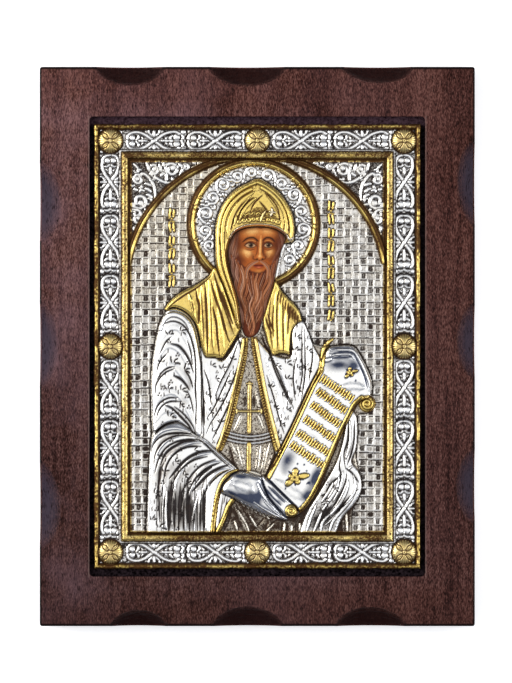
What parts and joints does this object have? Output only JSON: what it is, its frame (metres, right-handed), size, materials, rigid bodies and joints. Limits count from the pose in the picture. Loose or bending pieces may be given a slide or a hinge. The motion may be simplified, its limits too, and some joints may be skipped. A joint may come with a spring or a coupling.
{
  "type": "religious icon",
  "caption": "Orthodox-style icon: embossed silver cover with gilt details and a painted face, set in a recess of a dark wooden board with scalloped edges.",
  "frame": {"origin": "centre of the board's back face", "axes": "+Z out of the icon's front, +Y towards its top, +X towards its right-hand side as seen from the front; the icon lies on its back"},
  "size_m": [0.21, 0.27, 0.0225],
  "materials": {
    "wood": "dark red-brown stain, satin varnish",
    "silver": "bright embossed silver, oxidised dark in the recesses, partly gilt",
    "paint": "painted panel under satin varnish"
  },
  "bodies": {
    "root": {"wooden_board": "wood", "silver_cover": "silver", "painted_face": "paint"}
  },
  "joints": []
}
